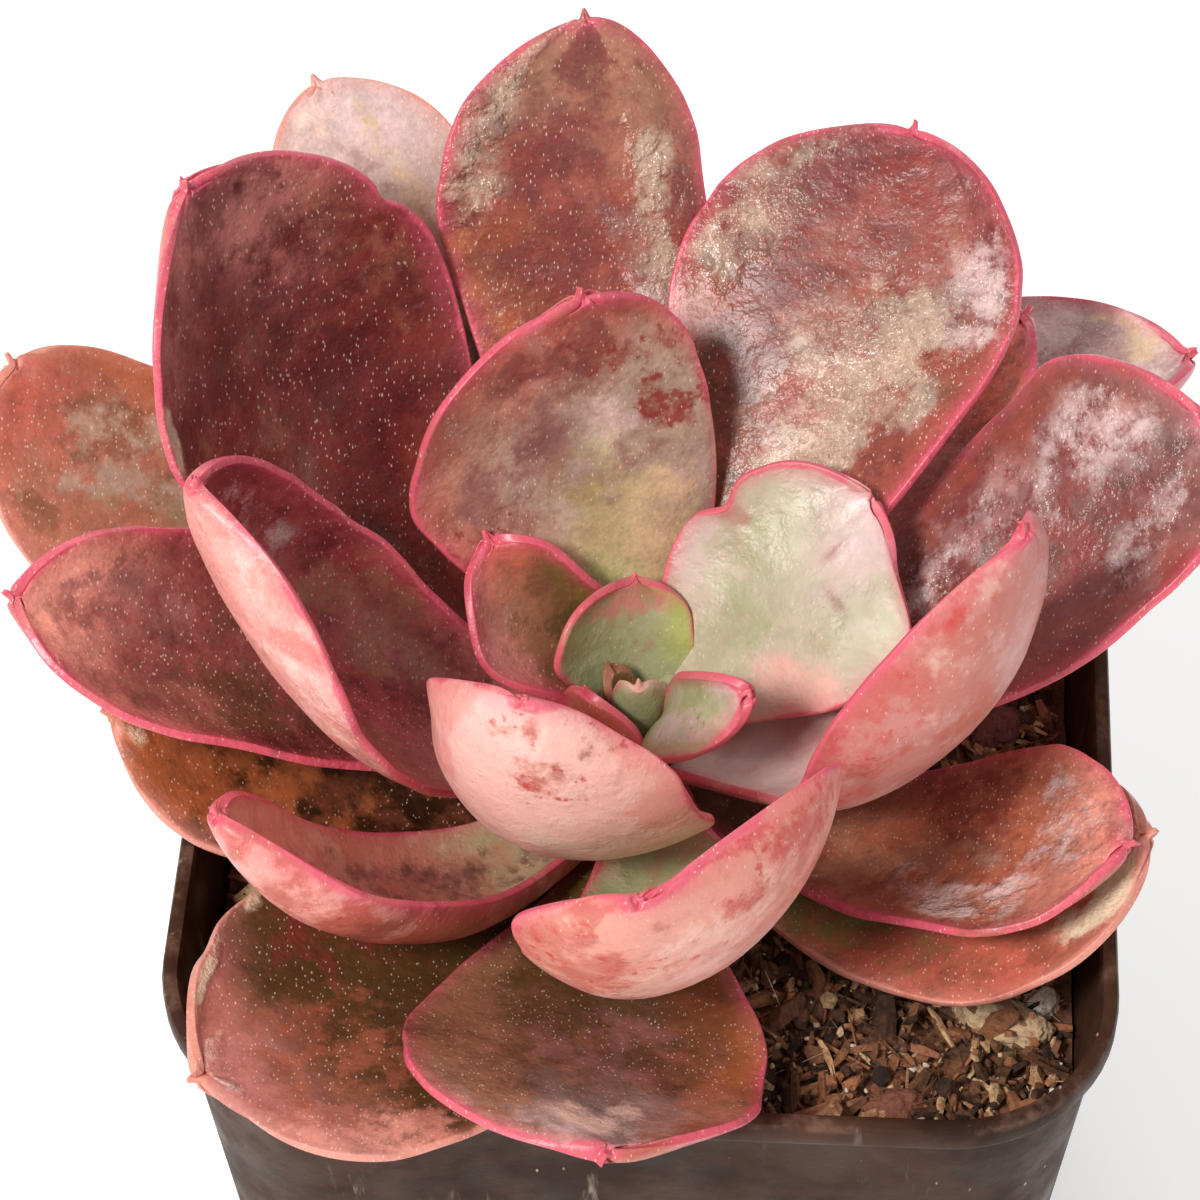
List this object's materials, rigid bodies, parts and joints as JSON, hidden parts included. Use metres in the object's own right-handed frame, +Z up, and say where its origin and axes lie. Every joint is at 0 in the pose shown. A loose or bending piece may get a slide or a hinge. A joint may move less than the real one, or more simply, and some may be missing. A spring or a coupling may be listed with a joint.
{
  "type": "potted echeveria succulent",
  "caption": "Rosette succulent with broad waved fleshy leaves on a short stem, planted in bark soil in a square tapered nursery pot.",
  "frame": {"origin": "centre of the pot's underside, on the surface it stands on", "axes": "+Z up; X and Y along the pot's sides, with -Y the side that faces the viewer in the picture"},
  "size_m": [0.118, 0.1084, 0.1315],
  "materials": {
    "pot_plastic": "satin",
    "soil": "matte",
    "stone": "matte",
    "stem": "matte",
    "leaf_green": "satin",
    "leaf_grey": "satin",
    "leaf_salmon": "satin",
    "leaf_burgundy": "satin",
    "leaf_olive": "satin"
  },
  "bodies": {
    "root": {"pot": "pot_plastic", "soil": "soil", "stem": "stem", "dry_clod": "stone", "lava_stone": "stone", "red_stone": "stone", "pale_stone": "stone", "leaf_bud_front": "leaf_green", "leaf_bud_right": "leaf_green", "leaf_bud_left": "leaf_green", "leaf_heart_left": "leaf_salmon", "leaf_heart_back": "leaf_green", "leaf_heart_right": "leaf_green", "leaf_inner_left": "leaf_olive", "leaf_inner_right": "leaf_green", "leaf_inner_front": "leaf_salmon", "leaf_inner_back": "leaf_grey", "leaf_middle_right": "leaf_salmon", "leaf_middle_left": "leaf_burgundy", "leaf_back_right": "leaf_burgundy", "leaf_front_curled": "leaf_salmon", "leaf_back_left": "leaf_burgundy", "leaf_right": "leaf_grey", "leaf_front_left_folded": "leaf_salmon", "leaf_back": "leaf_burgundy", "leaf_front_right": "leaf_burgundy", "leaf_left": "leaf_burgundy", "leaf_far_right_inner": "leaf_burgundy", "leaf_front": "leaf_olive", "leaf_far_back_left": "leaf_grey", "leaf_low_front_right": "leaf_olive", "leaf_low_left": "leaf_olive", "leaf_low_back": "leaf_olive", "leaf_low_back_left": "leaf_olive", "leaf_far_left": "leaf_olive", "leaf_far_right": "leaf_grey", "leaf_low_front_left": "leaf_olive"}
  },
  "joints": []
}
